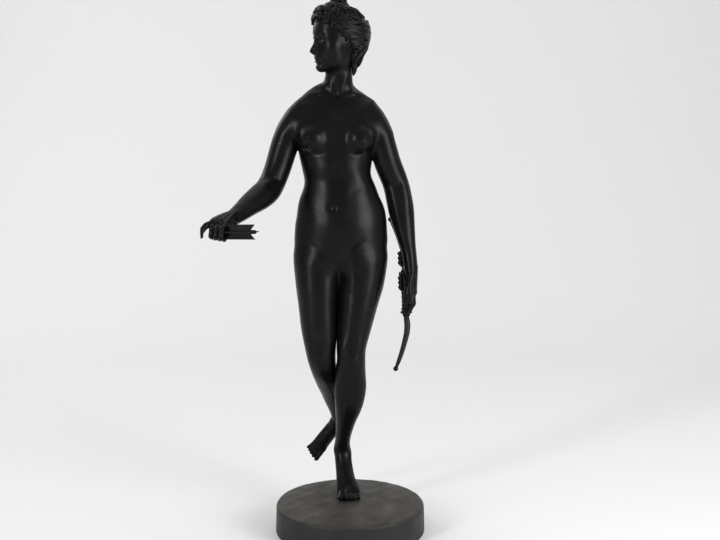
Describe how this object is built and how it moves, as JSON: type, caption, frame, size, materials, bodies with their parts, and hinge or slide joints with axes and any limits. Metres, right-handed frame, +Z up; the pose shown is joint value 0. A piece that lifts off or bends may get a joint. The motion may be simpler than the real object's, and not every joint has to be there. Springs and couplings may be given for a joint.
{
  "type": "bronze statuette",
  "caption": "Standing bronze figure of a striding huntress with a short arrow and a small bow, on a round base.",
  "frame": {"origin": "centre of the base's rest face", "axes": "+Z up along the figure, -Y towards the front of the figure, +X towards the figure's left"},
  "size_m": [0.2126, 0.1903, 0.5357],
  "materials": {
    "dark_bronze": "satin near-black patina with soft highlights",
    "worn_bronze": "rubbed dark brown patina, half matt and mottled",
    "pin_brass": "dull, tarnished",
    "fixing_steel": "oily, slightly tarnished"
  },
  "bodies": {
    "root": {"base_casting": "worn_bronze", "torso_casting": "dark_bronze", "head_casting": "dark_bronze", "hair_knot": "dark_bronze", "standing_leg_casting": "dark_bronze", "trailing_leg_casting": "dark_bronze", "right_arm_casting": "dark_bronze", "left_arm_casting": "dark_bronze", "foot_stud": "fixing_steel", "stud_washer": "fixing_steel", "stud_nut": "pin_brass", "foot_dowel": "fixing_steel", "neck_pin": "pin_brass", "right_arm_pin": "pin_brass", "left_arm_pin": "pin_brass", "standing_thigh_pin": "pin_brass", "trailing_thigh_pin": "pin_brass", "bow_grip": "dark_bronze", "bow_upper_limb": "dark_bronze", "bow_lower_limb": "dark_bronze", "bow_tang_pin": "pin_brass", "arrow_shaft": "dark_bronze", "arrow_vanes": "dark_bronze"}
  },
  "joints": []
}
